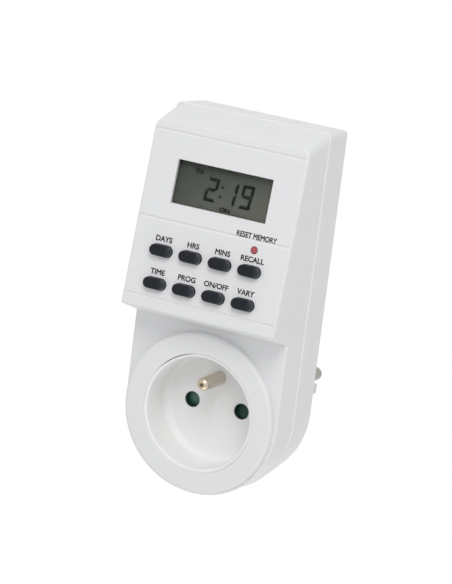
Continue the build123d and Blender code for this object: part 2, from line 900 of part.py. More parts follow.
# Control board with its screws and the parts on its back
control_length = panel_length - control_lower_margin - control_upper_margin
with BuildPart() as control_board:
    with BuildSketch(panel.offset(-board_back)):
        with Locations((0, control_lower_margin)):
            Rectangle(control_width, control_length, align=(Align.CENTER, Align.MIN))
        with Locations(*control_posts):
            Circle(board_screw_radius + slide_clear, mode=Mode.SUBTRACT)
    extrude(amount=board_thickness)
with BuildPart() as control_board_screws:
    with BuildSketch(panel.offset(-board_back)):
        with Locations(*control_posts):
            Circle(board_screw_radius)
    extrude(amount=board_thickness + board_screw_bite)
    with BuildSketch(panel.offset(-board_back)):
        with Locations(*control_posts):
            Circle(board_screw_head_radius)
    extrude(amount=-board_screw_head_height)
with BuildPart() as processor:
    with BuildSketch(panel.offset(-board_back)):
        with Locations((processor_inset - control_width / 2, window_rise - processor_drop)):
            Circle(processor_radius)
    extrude(amount=-processor_height, taper=processor_taper)
with BuildPart() as crystal:
    crystal_x = control_width / 2 - crystal_inset
    crystal_rise = window_rise + crystal_lift
    crystal_centre = panel.from_local_coords((crystal_x, crystal_rise, -(board_back + crystal_radius)))
    with BuildSketch(Plane(crystal_centre, x_dir=panel.y_dir, z_dir=panel.x_dir)):
        Circle(crystal_radius)
    extrude(amount=crystal_length / 2, both=True)
with BuildPart() as backup_cell:
    with BuildSketch(panel.offset(-board_back)):
        with Locations((control_width / 2 - cell_inset, key_top_row_rise + cell_lift)):
            Circle(cell_radius)
    extrude(amount=-cell_height)
    fillet(backup_cell.edges().filter_by(GeomType.CIRCLE).sort_by(panel_axis)[0], cell_edge_radius)

# Power board with its screws
with BuildPart() as power_board:
    with BuildSketch(facing(power_back_y)):
        with Locations((0, power_bottom_z)):
            Rectangle(power_width, power_height, align=(Align.CENTER, Align.MIN))
        with Locations(*power_posts):
            Circle(board_screw_radius + slide_clear, mode=Mode.SUBTRACT)
    extrude(amount=board_thickness)
with BuildPart() as power_board_screws:
    with BuildSketch(facing(power_front_y)):
        with Locations(*power_posts):
            Circle(board_screw_radius)
    extrude(amount=-(board_thickness + power_post_height))
    with BuildSketch(facing(power_front_y)):
        with Locations(*power_posts):
            Circle(board_screw_head_radius)
    extrude(amount=board_screw_head_height)


# Rises of the parts in one column of the power board, spread evenly between its screws.
def column_rises(*lengths):
    end_space = power_post_inset + board_screw_head_radius
    gap = (power_height - 2 * end_space - sum(lengths)) / (len(lengths) + 1)
    rises = []
    reached = end_space
    for length in lengths:
        rises.append(reached + gap + length / 2)
        reached += gap + length
    return rises


# A closed case that stands on the power board, with its edges rounded.
def board_case(x, rise, width, length, height, edge):
    with BuildPart() as case:
        with BuildSketch(facing(power_front_y)):
            with Locations((x, power_bottom_z + rise)):
                Rectangle(width, length)
        extrude(amount=height)
        fillet(case.edges().filter_by(Axis.Y), edge)
        fillet(case.faces().sort_by(Axis.Y)[0].edges(), edge / 2)
    return case


# A round part that lies across the power board.
def board_rod(x, rise, radius, length):
    with BuildPart() as rod:
        with BuildSketch(Plane(origin=(x, power_front_y - radius, power_bottom_z + rise), z_dir=(1, 0, 0))):
            Circle(radius)
        extrude(amount=length / 2, both=True)
    return rod


relay_rise, varistor_rise, fuse_rise = column_rises(relay_length, varistor_thickness, 2 * fuse_radius)
film_rise, can_rise, resistor_rise = column_rises(film_length, 2 * can_radius, 2 * resistor_radius)
relay = board_case(-power_column_x, relay_rise, relay_width, relay_length, relay_height, relay_edge_radius)
film_capacitor = board_case(
    power_column_x, film_rise, film_width, film_length, film_height, film_edge_radius
)
fuse = board_rod(-power_column_x, fuse_rise, fuse_radius, fuse_length)
resistor = board_rod(power_column_x, resistor_rise, resistor_radius, resistor_length)
with BuildPart() as rectifier_diodes:
    for step in range(diode_count):
        diode_z = power_bottom_z + power_height - diode_drop - step * diode_pitch
        with BuildSketch(Plane(origin=(0, power_front_y - diode_radius, diode_z), z_dir=(1, 0, 0))):
            Circle(diode_radius)
        extrude(amount=diode_length / 2, both=True)
with BuildPart() as electrolytic_capacitor:
    can_z = power_bottom_z + can_rise
    with BuildSketch(Plane.YZ.offset(power_column_x)):
        with BuildLine():
            Polyline(
                (power_front_y, can_z),
                (power_front_y, can_z + can_radius),
                (power_front_y - can_neck_rise + can_neck, can_z + can_radius),
                (power_front_y - can_neck_rise, can_z + can_radius - can_neck),
                (power_front_y - can_neck_rise - can_neck, can_z + can_radius),
                (power_front_y - can_height, can_z + can_radius),
                (power_front_y - can_height, can_z),
                close=True,
            )
        make_face()
    revolve(axis=Axis((power_column_x, 0, can_z), (0, 1, 0)))
with BuildPart() as varistor:
    varistor_y = power_front_y - varistor_lift - varistor_radius
    with BuildSketch(Plane.XY.offset(power_bottom_z + varistor_rise)):
        with Locations((-power_column_x, varistor_y)):
            Circle(varistor_radius)
    extrude(amount=varistor_thickness / 2, both=True)
    with BuildSketch(facing(power_front_y)):
        with Locations((-power_column_x, power_bottom_z + varistor_rise)):
            with GridLocations(varistor_leg_spacing, 0, 2, 1):
                Circle(varistor_leg_radius)
    extrude(amount=varistor_lift + varistor_radius)

# Ribbon cable between the two boards
ribbon_start = panel.from_local_coords((0, middle_groove_rise, -board_back))
ribbon_lead_end = panel.from_local_coords((0, middle_groove_rise, -(board_back + ribbon_lead)))
ribbon_power_z = power_bottom_z + power_height * ribbon_power_share
with BuildPart() as ribbon_cable:
    with BuildSketch(Plane.YZ):
        with BuildLine():
            FilletPolyline(
                (ribbon_start.Y, ribbon_start.Z),
                (ribbon_lead_end.Y, ribbon_lead_end.Z),
                (power_front_y - ribbon_lead, ribbon_power_z),
                (power_front_y, ribbon_power_z),
                radius=ribbon_bend,
            )
        trace(line_width=ribbon_thickness)
    extrude(amount=ribbon_width / 2, both=True)

pieces = {
    "front_housing": front_housing,
    "rear_cover": rear_cover,
    "housing_screws": housing_screws,
    "socket_cup": socket_cup,
    "socket_earth_pin": socket_earth_pin,
    "shutter": shutter,
    "shutter_spring": shutter_spring,
    "contact_carrier": contact_carrier,
    "line_contact": line_contact,
    "neutral_contact": neutral_contact,
    "load_strip": load_strip,
    "line_strip": line_strip,
    "neutral_strip": neutral_strip,
    "earth_link": earth_link,
    "earth_bracket": earth_bracket,
    "plug_boss": plug_boss,
    "line_pin": line_pin,
    "neutral_pin": neutral_pin,
    "plug_earth_sleeve": plug_earth_sleeve,
    **keys,
    "reset_button": reset_button,
    "keypad_mat": keypad_mat,
    "display_window": display_window,
    "display_panel": display_panel,
    "display_frame": display_frame,
    "display_contacts": display_contacts,
    "control_board": control_board,
    "control_board_screws": control_board_screws,
    "processor": processor,
    "crystal": crystal,
    "backup_cell": backup_cell,
    "power_board": power_board,
    "power_board_screws": power_board_screws,
    "relay": relay,
    "film_capacitor": film_capacitor,
    "electrolytic_capacitor": electrolytic_capacitor,
    "varistor": varistor,
    "rectifier_diodes": rectifier_diodes,
    "fuse": fuse,
    "resistor": resistor,
    "ribbon_cable": ribbon_cable,
}

os.makedirs("parts", exist_ok=True)
for label, piece in pieces.items():
    piece.part.label = label
    export_step(piece.part, f"parts/{label}.step")
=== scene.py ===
import json
import math

import bmesh
import bpy
from mathutils import Matrix, Vector


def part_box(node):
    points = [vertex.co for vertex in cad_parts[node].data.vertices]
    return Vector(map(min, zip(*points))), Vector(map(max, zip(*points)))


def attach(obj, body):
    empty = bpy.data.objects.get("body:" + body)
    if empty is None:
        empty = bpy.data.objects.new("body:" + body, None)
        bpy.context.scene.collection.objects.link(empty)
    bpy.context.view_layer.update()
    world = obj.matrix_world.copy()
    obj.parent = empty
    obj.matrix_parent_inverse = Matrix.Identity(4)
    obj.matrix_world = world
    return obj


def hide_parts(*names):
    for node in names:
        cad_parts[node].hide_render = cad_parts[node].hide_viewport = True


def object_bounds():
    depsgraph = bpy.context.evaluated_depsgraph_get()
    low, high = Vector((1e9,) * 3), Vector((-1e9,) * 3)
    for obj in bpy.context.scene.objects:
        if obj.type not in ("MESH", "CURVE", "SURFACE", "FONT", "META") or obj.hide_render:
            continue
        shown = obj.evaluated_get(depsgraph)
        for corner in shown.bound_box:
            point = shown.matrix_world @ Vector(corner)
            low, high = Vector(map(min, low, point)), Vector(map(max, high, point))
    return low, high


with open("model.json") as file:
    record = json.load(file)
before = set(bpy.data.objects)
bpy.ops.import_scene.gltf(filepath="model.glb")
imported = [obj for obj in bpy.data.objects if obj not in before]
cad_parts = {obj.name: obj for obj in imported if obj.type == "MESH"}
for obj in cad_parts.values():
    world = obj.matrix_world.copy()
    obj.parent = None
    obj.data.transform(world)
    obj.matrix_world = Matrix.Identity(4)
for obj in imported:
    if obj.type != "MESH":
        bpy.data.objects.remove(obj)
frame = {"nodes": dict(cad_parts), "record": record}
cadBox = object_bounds()
nodes = frame["nodes"]
scene = bpy.context.scene
print("frame:", len(nodes), "nodes")


# camera, at the photograph's angle
cameraView = {
    "yaw": 25.025,
    "pitch": 13.749,
    "roll": 7.167,
    "aim": (-0.000965, -0.043398, 0.038063),
    "distance": 1.2,
    "lens": 217.09,
    "sensor": 36,
    "clipEnd": 20,
}


def placeCamera(view):
    yaw, pitch, roll = (math.radians(view[name]) for name in ("yaw", "pitch", "roll"))
    back = Vector((math.sin(yaw) * math.cos(pitch), -math.cos(yaw) * math.cos(pitch), math.sin(pitch)))
    level = Vector((0, 0, 1)).cross(back).normalized()
    lean = Matrix.Rotation(roll, 3, back)
    right = lean @ level
    up = lean @ back.cross(level)
    data = bpy.data.cameras.new("photoCamera")
    data.sensor_width = view["sensor"]
    data.lens = view["lens"]
    data.clip_end = view["clipEnd"]
    camera = bpy.data.objects.new("photoCamera", data)
    scene.collection.objects.link(camera)
    turn = Matrix((right, up, back)).transposed().to_4x4()
    camera.matrix_world = Matrix.Translation(Vector(view["aim"]) + back * view["distance"]) @ turn
    scene.camera = camera


placeCamera(cameraView)
scene.view_settings.view_transform = "Standard"
print("camera placed")


# helpers for node trees
def feed(tree, socket, value):
    # an output is linked to the socket, anything else is set on it
    if isinstance(value, bpy.types.NodeSocket):
        tree.links.new(value, socket)
    else:
        socket.default_value = value


def addMath(tree, operation, *values):
    node = tree.nodes.new("ShaderNodeMath")
    node.operation = operation
    for socket, value in zip(node.inputs, values):
        feed(tree, socket, value)
    return node.outputs[0]


def splitPlace(tree, where):
    place = tree.nodes.new("ShaderNodeSeparateXYZ")
    tree.links.new(where, place.inputs[0])
    return place.outputs


def joinPlace(tree, **sides):
    place = tree.nodes.new("ShaderNodeCombineXYZ")
    for axis, value in sides.items():
        feed(tree, place.inputs[axis], value)
    return place.outputs[0]


def objectPlace(tree):
    return tree.nodes.new("ShaderNodeTexCoord").outputs["Object"]


# soft studio: white room light, a key lamp from the upper right, a weak fill from below, a floor
studio = {
    "roomLevel": 0.775,
    "roomTop": 0.56,
    "keyPower": 4.65,
    "keyFrom": (0.28, -0.62, 0.73),
    "keyDistance": 1.1,
    "keySize": 0.50,
    "fillPower": 0.95,
    "fillFrom": (0.25, -0.20, -0.95),
    "fillDistance": 0.6,
    "fillSize": 0.5,
    "floorDrop": 0.75,
    "floorSize": 6.0,
    "floorColor": (0.86, 0.86, 0.86, 1),
    "floorGlow": 1.065,
    "floorWhite": 0.9,
}


def lookedAt(tree):
    # 1 for rays from the camera, a mirror or glass, so these see plain white
    path = tree.nodes.new("ShaderNodeLightPath")
    direct = addMath(tree, "MAXIMUM", path.outputs["Is Camera Ray"], path.outputs["Is Glossy Ray"])
    return addMath(tree, "MAXIMUM", direct, path.outputs["Is Transmission Ray"])


def lightRoom(settings):
    world = bpy.data.worlds.new("studioRoom")
    scene.world = world
    world.use_nodes = True
    tree = world.node_tree
    tree.nodes.clear()
    # the room is a little darker overhead
    height = splitPlace(tree, tree.nodes.new("ShaderNodeTexCoord").outputs["Generated"])["Z"]
    strength = tree.nodes.new("ShaderNodeMapRange")
    strength.inputs["To Min"].default_value = settings["roomLevel"]
    strength.inputs["To Max"].default_value = settings["roomTop"]
    tree.links.new(height, strength.inputs["Value"])
    lit = tree.nodes.new("ShaderNodeBackground")
    lit.inputs["Color"].default_value = (1, 1, 1, 1)
    tree.links.new(strength.outputs["Result"], lit.inputs["Strength"])
    seen = tree.nodes.new("ShaderNodeBackground")
    seen.inputs["Color"].default_value = (1, 1, 1, 1)
    mix = tree.nodes.new("ShaderNodeMixShader")
    out = tree.nodes.new("ShaderNodeOutputWorld")
    tree.links.new(lookedAt(tree), mix.inputs[0])
    tree.links.new(lit.outputs[0], mix.inputs[1])
    tree.links.new(seen.outputs[0], mix.inputs[2])
    tree.links.new(mix.outputs[0], out.inputs["Surface"])


def hangLamp(name, settings):
    lamp = bpy.data.lights.new(name + "Lamp", "AREA")
    lamp.energy = settings[name + "Power"]
    lamp.size = settings[name + "Size"]
    lampObject = bpy.data.objects.new(name + "Lamp", lamp)
    scene.collection.objects.link(lampObject)
    toLamp = Vector(settings[name + "From"]).normalized()
    lampObject.location = Vector(cameraView["aim"]) + toLamp * settings[name + "Distance"]
    lampObject.rotation_euler = toLamp.to_track_quat("Z", "Y").to_euler()
    lampObject.visible_camera = False


def layFloor(settings):
    half = settings["floorSize"] / 2
    height = cadBox[0].z - settings["floorDrop"]
    corners = [(-half, -half, height), (half, -half, height), (half, half, height), (-half, half, height)]
    mesh = bpy.data.meshes.new("studioFloor")
    mesh.from_pydata(corners, [], [(0, 1, 2, 3)])
    floor = bpy.data.objects.new("studioFloor", mesh)
    scene.collection.objects.link(floor)
    pale = bpy.data.materials.new("paleFloor")
    pale.use_nodes = True
    tree = pale.node_tree
    tree.nodes.clear()
    matte = tree.nodes.new("ShaderNodeBsdfDiffuse")
    matte.inputs["Color"].default_value = settings["floorColor"]
    white = tree.nodes.new("ShaderNodeEmission")
    white.inputs["Strength"].default_value = settings["floorGlow"]
    mix = tree.nodes.new("ShaderNodeMixShader")
    out = tree.nodes.new("ShaderNodeOutputMaterial")
    # the share that isn't plain white keeps the shadow
    tree.links.new(addMath(tree, "MULTIPLY", lookedAt(tree), settings["floorWhite"]), mix.inputs[0])
    tree.links.new(matte.outputs[0], mix.inputs[1])
    tree.links.new(white.outputs[0], mix.inputs[2])
    tree.links.new(mix.outputs[0], out.inputs["Surface"])
    mesh.materials.append(pale)


lightRoom(studio)
hangLamp("key", studio)
hangLamp("fill", studio)
layFloor(studio)
print("studio lit")


# shared surface effects; noise from low to high is spread over a range, the rest are its details
noiseLook = {"low": 0.35, "high": 0.65, "cloud": 3, "patches": 4, "grain": 2, "streaks": 3}
# what a finish has where it names no value of its own
plasticBase = {"cloud": 60.0, "grain": 2500.0, "ior": 1.5, "shine": 0.5, "depth": 0.00002, "bump": 0.15}
metalBase = {"streaks": (3000.0, 120.0, 3000.0), "depth": 0.00001, "bump": 0.1}


def newGroup(name, inputs, outputs):
    group = bpy.data.node_groups.new(name, "ShaderNodeTree")
    kinds = {"value": "NodeSocketFloat", "color": "NodeSocketColor", "vector": "NodeSocketVector"}
    for label, kind, start in inputs:
        socket = group.interface.new_socket(name=label, in_out="INPUT", socket_type=kinds[kind])
        socket.default_value = start
    for label, kind in outputs:
        group.interface.new_socket(name=label, in_out="OUTPUT", socket_type=kinds[kind])
    return group, group.nodes.new("NodeGroupInput"), group.nodes.new("NodeGroupOutput")


def addNoise(tree, vector, scale, detail=2):
    noise = tree.nodes.new("ShaderNodeTexNoise")
    noise.inputs["Detail"].default_value = detail
    tree.links.new(vector, noise.inputs["Vector"])
    feed(tree, noise.inputs["Scale"], scale)
    return noise.outputs["Fac"]


def addRange(tree, value, low, high):
    ranged = tree.nodes.new("ShaderNodeMapRange")
    ranged.inputs["From Min"].default_value = noiseLook["low"]
    ranged.inputs["From Max"].default_value = noiseLook["high"]
    tree.links.new(value, ranged.inputs["Value"])
    tree.links.new(low, ranged.inputs["To Min"])
    tree.links.new(high, ranged.inputs["To Max"])
    return ranged.outputs["Result"]


def addFade(tree, value, start, full, smooth=False):
    fade = tree.nodes.new("ShaderNodeMapRange")
    if smooth:
        fade.interpolation_type = "SMOOTHSTEP"
    fade.inputs["From Min"].default_value = start
    fade.inputs["From Max"].default_value = full
    tree.links.new(value, fade.inputs["Value"])
    return fade.outputs["Result"]


def addColorMix(tree, factor, first, second):
    mix = tree.nodes.new("ShaderNodeMix")
    mix.data_type = "RGBA"
    tree.links.new(factor, mix.inputs["Factor"])
    feed(tree, mix.inputs["A"], first)
    feed(tree, mix.inputs["B"], second)
    return mix.outputs["Result"]


def makeMouldedSkin():
    # cloudy tone, patchy gloss and fine grain of a moulded surface
    inputs = [
        ("Tone", "color", (0.8, 0.8, 0.8, 1)),
        ("Deep Tone", "color", (0.75, 0.75, 0.75, 1)),
        ("Cloud Scale", "value", plasticBase["cloud"]),
        ("Grain Scale", "value", plasticBase["grain"]),
        ("Gloss Scale", "value", 220.0),
        ("Smooth", "value", 0.35),
        ("Rough", "value", 0.45),
    ]
    outputs = [("Color", "color"), ("Roughness", "value"), ("Grain", "value")]
    group, given, result = newGroup("mouldedSkin", inputs, outputs)
    where = objectPlace(group)
    cloud = addNoise(group, where, given.outputs["Cloud Scale"], noiseLook["cloud"])
    patches = addNoise(group, where, given.outputs["Gloss Scale"], noiseLook["patches"])
    grain = addNoise(group, where, given.outputs["Grain Scale"], noiseLook["grain"])
    tone = addColorMix(group, cloud, given.outputs["Tone"], given.outputs["Deep Tone"])
    rough = addRange(group, patches, given.outputs["Smooth"], given.outputs["Rough"])
    group.links.new(tone, result.inputs["Color"])
    group.links.new(rough, result.inputs["Roughness"])
    group.links.new(grain, result.inputs["Grain"])
    return group


def makeDrawnMetal():
    # fine streaks along one direction, as drawing or stamping leaves them
    inputs = [
        ("Tone", "color", (0.6, 0.6, 0.6, 1)),
        ("Deep Tone", "color", (0.45, 0.45, 0.45, 1)),
        ("Streak Scale", "vector", metalBase["streaks"]),
        ("Smooth", "value", 0.2),
        ("Rough", "value", 0.4),
    ]
    outputs = [("Color", "color"), ("Roughness", "value"), ("Streaks", "value")]
    group, given, result = newGroup("drawnMetal", inputs, outputs)
    stretch = group.nodes.new("ShaderNodeVectorMath")
    stretch.operation = "MULTIPLY"
    group.links.new(objectPlace(group), stretch.inputs[0])
    group.links.new(given.outputs["Streak Scale"], stretch.inputs[1])
    streaks = addNoise(group, stretch.outputs[0], 1, noiseLook["streaks"])
    tone = addColorMix(group, streaks, given.outputs["Tone"], given.outputs["Deep Tone"])
    rough = addRange(group, streaks, given.outputs["Smooth"], given.outputs["Rough"])
    group.links.new(tone, result.inputs["Color"])
    group.links.new(rough, result.inputs["Roughness"])
    group.links.new(streaks, result.inputs["Streaks"])
    return group


mouldedSkin = makeMouldedSkin()
drawnMetal = makeDrawnMetal()


def newMaterial(name):
    material = bpy.data.materials.new(name)
    material.use_nodes = True
    tree = material.node_tree
    tree.nodes.clear()
    shader = tree.nodes.new("ShaderNodeBsdfPrincipled")
    out = tree.nodes.new("ShaderNodeOutputMaterial")
    tree.links.new(shader.outputs[0], out.inputs["Surface"])
    return material, tree, shader, out


def addBump(tree, shader, height, depth, strength):
    bump = tree.nodes.new("ShaderNodeBump")
    bump.inputs["Strength"].default_value = strength
    bump.inputs["Distance"].default_value = depth
    tree.links.new(height, bump.inputs["Height"])
    tree.links.new(bump.outputs["Normal"], shader.inputs["Normal"])


def useGroup(tree, group, values):
    placed = tree.nodes.new("ShaderNodeGroup")
    placed.node_tree = group
    for label, value in values.items():
        placed.inputs[label].default_value = value
    return placed


def makePlastic(name, finish):
    finish = {**plasticBase, **finish}
    material, tree, shader, _ = newMaterial(name)
    skin = useGroup(tree, mouldedSkin, {
        "Tone": (*finish["tone"], 1),
        "Deep Tone": (*finish["deep"], 1),
        "Cloud Scale": finish["cloud"],
        "Grain Scale": finish["grain"],
        "Smooth": finish["gloss"][0],
        "Rough": finish["gloss"][1],
    })
    tree.links.new(skin.outputs["Color"], shader.inputs["Base Color"])
    tree.links.new(skin.outputs["Roughness"], shader.inputs["Roughness"])
    shader.inputs["IOR"].default_value = finish["ior"]
    shader.inputs["Specular IOR Level"].default_value = finish["shine"]
    addBump(tree, shader, skin.outputs["Grain"], finish["depth"], finish["bump"])
    return material


def makeMetal(name, finish):
    finish = {**metalBase, **finish}
    material, tree, shader, _ = newMaterial(name)
    drawn = useGroup(tree, drawnMetal, {
        "Tone": (*finish["tone"], 1),
        "Deep Tone": (*finish["deep"], 1),
        "Streak Scale": finish["streaks"],
        "Smooth": finish["gloss"][0],
        "Rough": finish["gloss"][1],
    })
    tree.links.new(drawn.outputs["Color"], shader.inputs["Base Color"])
    tree.links.new(drawn.outputs["Roughness"], shader.inputs["Roughness"])
    shader.inputs["Metallic"].default_value = 1
    addBump(tree, shader, drawn.outputs["Streaks"], finish["depth"], finish["bump"])
    return material


keyNodes = [
    "day_key", "hour_key", "minute_key", "recall_key",
    "clock_key", "program_key", "mode_key", "random_key",
]
plastics = {
    "housingWhite": {
        "nodes": ["front_housing", "rear_cover"],
        "tone": (0.777, 0.784, 0.793), "deep": (0.757, 0.764, 0.773), "gloss": (0.36, 0.46), "bump": 0.12,
    },
    # a darker copy of the housing white for the plug boss: painted shade
    "bossWhitePaintedShade": {
        "nodes": ["plug_boss"],
        "tone": (0.71, 0.715, 0.72), "deep": (0.69, 0.695, 0.70), "gloss": (0.36, 0.46), "bump": 0.12,
    },
    "socketWhite": {
        "nodes": ["socket_cup"],
        "tone": (0.860, 0.860, 0.856), "deep": (0.840, 0.840, 0.836), "gloss": (0.60, 0.70), "bump": 0.08,
        "shine": 0.3,
    },
    "keyNavy": {
        "nodes": keyNodes,
        "tone": (0.003, 0.0055, 0.012), "deep": (0.002, 0.004, 0.009), "gloss": (0.18, 0.26),
        "bump": 0.1, "grain": 3600.0, "shine": 0.28,
    },
    "resetRed": {
        "nodes": ["reset_button"],
        "tone": (0.465, 0.092, 0.113), "deep": (0.395, 0.068, 0.083), "gloss": (0.3, 0.4),
    },
    "shutterGreen": {
        "nodes": ["shutter"],
        "tone": (0.016, 0.078, 0.049), "deep": (0.011, 0.057, 0.036), "gloss": (0.3, 0.42), "shine": 0.3,
    },
    "carrierGrey": {
        "nodes": ["contact_carrier"],
        "tone": (0.30, 0.31, 0.32), "deep": (0.24, 0.25, 0.26), "gloss": (0.45, 0.6),
    },
    "matGrey": {
        "nodes": ["keypad_mat"],
        "tone": (0.42, 0.43, 0.45), "deep": (0.36, 0.37, 0.39), "gloss": (0.6, 0.75),
    },
    "stripRubber": {
        "nodes": ["display_contacts"],
        "tone": (0.09, 0.09, 0.10), "deep": (0.04, 0.04, 0.045), "gloss": (0.6, 0.75), "cloud": 900.0,
    },
    "frameBlack": {
        "nodes": ["display_frame", "processor", "rectifier_diodes"],
        "tone": (0.03, 0.03, 0.032), "deep": (0.018, 0.018, 0.02), "gloss": (0.4, 0.55),
    },
    "relayBlue": {
        "nodes": ["relay", "varistor"],
        "tone": (0.03, 0.11, 0.36), "deep": (0.02, 0.08, 0.28), "gloss": (0.3, 0.45),
    },
    "filmYellow": {
        "nodes": ["film_capacitor"],
        "tone": (0.60, 0.42, 0.04), "deep": (0.52, 0.34, 0.03), "gloss": (0.25, 0.35),
    },
    "canSleeve": {
        "nodes": ["electrolytic_capacitor"],
        "tone": (0.025, 0.03, 0.05), "deep": (0.018, 0.02, 0.035), "gloss": (0.2, 0.3),
    },
    "coatTan": {
        "nodes": ["resistor", "fuse"],
        "tone": (0.50, 0.38, 0.24), "deep": (0.42, 0.30, 0.18), "gloss": (0.4, 0.55),
    },
    "ribbonGrey": {
        "nodes": ["ribbon_cable"],
        "tone": (0.40, 0.40, 0.41), "deep": (0.33, 0.33, 0.34), "gloss": (0.5, 0.6),
    },
}
metals = {
    "earthNickel": {
        "nodes": ["socket_earth_pin"],
        "tone": (0.73, 0.67, 0.575), "deep": (0.62, 0.56, 0.475), "gloss": (0.26, 0.38),
    },
    "plugNickel": {
        "nodes": ["line_pin", "neutral_pin", "earth_bracket", "plug_earth_sleeve"],
        "tone": (0.40, 0.39, 0.36), "deep": (0.31, 0.30, 0.27), "gloss": (0.26, 0.40),
    },
    "contactBrass": {
        "nodes": [
            "line_contact", "neutral_contact", "load_strip",
            "line_strip", "neutral_strip", "earth_link",
        ],
        "tone": (0.62, 0.44, 0.17), "deep": (0.50, 0.34, 0.12), "gloss": (0.28, 0.42),
        "streaks": (2500.0, 2500.0, 150.0),
    },
    "screwSteel": {
        "nodes": ["control_board_screws", "power_board_screws", "shutter_spring", "crystal"],
        "tone": (0.46, 0.46, 0.47), "deep": (0.34, 0.34, 0.36), "gloss": (0.28, 0.45),
        "streaks": (900.0, 900.0, 900.0),
    },
    "cellSteel": {
        "nodes": ["backup_cell"],
        "tone": (0.50, 0.51, 0.50), "deep": (0.40, 0.41, 0.40), "gloss": (0.25, 0.4),
        "streaks": (800.0, 800.0, 800.0),
    },
}


def dress(names, material):
    for name in names:
        mesh = nodes[name].data
        mesh.materials.clear()
        mesh.materials.append(material)


finishes = {}
for name, finish in plastics.items():
    finishes[name] = makePlastic(name, finish)
    dress(finish["nodes"], finishes[name])
for name, finish in metals.items():
    finishes[name] = makeMetal(name, finish)
    dress(finish["nodes"], finishes[name])
print("plastics and metals:", len(finishes))


# marks of use and painted light: a worn pin tip, a painted dark reflection on the tip, painted highlights on
# the keys, painted light on one side of the shutter, painted shade in the pin holes, a painted shadow in the
# joint round the cup
wearAndPaintedLightLook = {
    "tipTone": (0.55, 0.48, 0.34),
    "tipFrom": 0.0024,
    "tipFull": 0.0008,
    "tipRagged": 0.0012,
    "tipScale": 900.0,
    "reflectionTone": (0.10, 0.075, 0.045),
    "reflectionFrom": 0.0010,
    "reflectionFull": 0.0004,
    "holeShadeTone": (0.022, 0.060, 0.044),
    "holeShadeBlur": 0.00005,
    "rampLightTone": (0.130, 0.245, 0.190),
    "rampLightFrom": 0.0030,
    "rampLightFull": 0.0010,
    "keyHighlightTone": (0.023, 0.028, 0.038),
    "keyHighlightShares": (0.40, 0.80, 0.86, 0.97),
    "jointShadowTone": (0.16, 0.155, 0.15),
    "jointShadowSide": (0.00212, -0.0034),
    "jointShadowStart": 0.02427,
    "jointShadowFull": 0.02439,
}
pinHole = next(mount for mount in frame["record"]["mounts"] if mount["name"] == "socket_hole_neutral")


def addOverlay(material, makeMask, tone):
    # lays a second tone over the base colour where the mask is 1
    tree = material.node_tree
    shader = next(node for node in tree.nodes if node.type == "BSDF_PRINCIPLED")
    below = shader.inputs["Base Color"].links[0].from_socket
    mask = makeMask(tree, objectPlace(tree))
    tree.links.new(addColorMix(tree, mask, below, (*tone, 1)), shader.inputs["Base Color"])


def addReach(tree, where, mirrored, x, z):
    # distance from a line along the depth at x, z, or from a pair of them
    place = splitPlace(tree, where)
    sideways = addMath(tree, "ABSOLUTE", place["X"]) if mirrored else place["X"]
    reach = tree.nodes.new("ShaderNodeVectorMath")
    reach.operation = "DISTANCE"
    reach.inputs[1].default_value = (x, 0, z)
    tree.links.new(joinPlace(tree, X=sideways, Z=place["Z"]), reach.inputs[0])
    return reach.outputs["Value"]


def wornTip(tree, where):
    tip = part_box("socket_earth_pin")[0].y
    noise = addNoise(tree, where, wearAndPaintedLightLook["tipScale"])
    depth = splitPlace(tree, where)["Y"]
    ragged = addMath(tree, "MULTIPLY_ADD", noise, wearAndPaintedLightLook["tipRagged"], depth)
    return addFade(tree, ragged, tip + wearAndPaintedLightLook["tipFrom"], tip + wearAndPaintedLightLook["tipFull"])


# a painted dark reflection on the apex of the earth pin's tip
def paintedDarkReflection(tree, where):
    low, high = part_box("socket_earth_pin")
    reach = addReach(tree, where, False, (low.x + high.x) / 2, (low.z + high.z) / 2)
    return addFade(tree, reach, wearAndPaintedLightLook["reflectionFrom"], wearAndPaintedLightLook["reflectionFull"])


# painted shade on the walls of the two pin holes
def paintedHoleShade(tree, where):
    x, _, z = pinHole["pos_m"]
    radius = pinHole["dims"]["r_mm"] / 1000
    return addFade(tree, addReach(tree, where, True, x, z), radius + wearAndPaintedLightLook["holeShadeBlur"], radius)


def paintedLightRamp(tree, where):
    # one side of the shutter is painted paler: painted light
    x, _, z = pinHole["pos_m"]
    reach = addReach(tree, where, False, -abs(x), z)
    return addFade(tree, reach, wearAndPaintedLightLook["rampLightFrom"], wearAndPaintedLightLook["rampLightFull"])


def paintedKeyHighlights(tree, where):
    # every key has a painted highlight towards its right end, between shares of half its length
    low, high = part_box("day_key")
    middle, half = (low.x + high.x) / 2, (high.x - low.x) / 2
    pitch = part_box("hour_key")[0].x - low.x
    along = addMath(tree, "WRAP", splitPlace(tree, where)["X"], middle + pitch / 2, middle - pitch / 2)
    start, full, last, end = (middle + half * share for share in wearAndPaintedLightLook["keyHighlightShares"])
    return addMath(tree, "MULTIPLY", addFade(tree, along, start, full), addFade(tree, along, end, last))


def paintedJointShadow(tree, where):
    # a painted shadow in the joint round the cup, measured from a little to one side, so the dark line is
    # widest at the upper left
    x, z = wearAndPaintedLightLook["jointShadowSide"]
    reach = addReach(tree, where, False, x, pinHole["pos_m"][2] + z)
    return addFade(tree, reach, wearAndPaintedLightLook["jointShadowStart"], wearAndPaintedLightLook["jointShadowFull"])


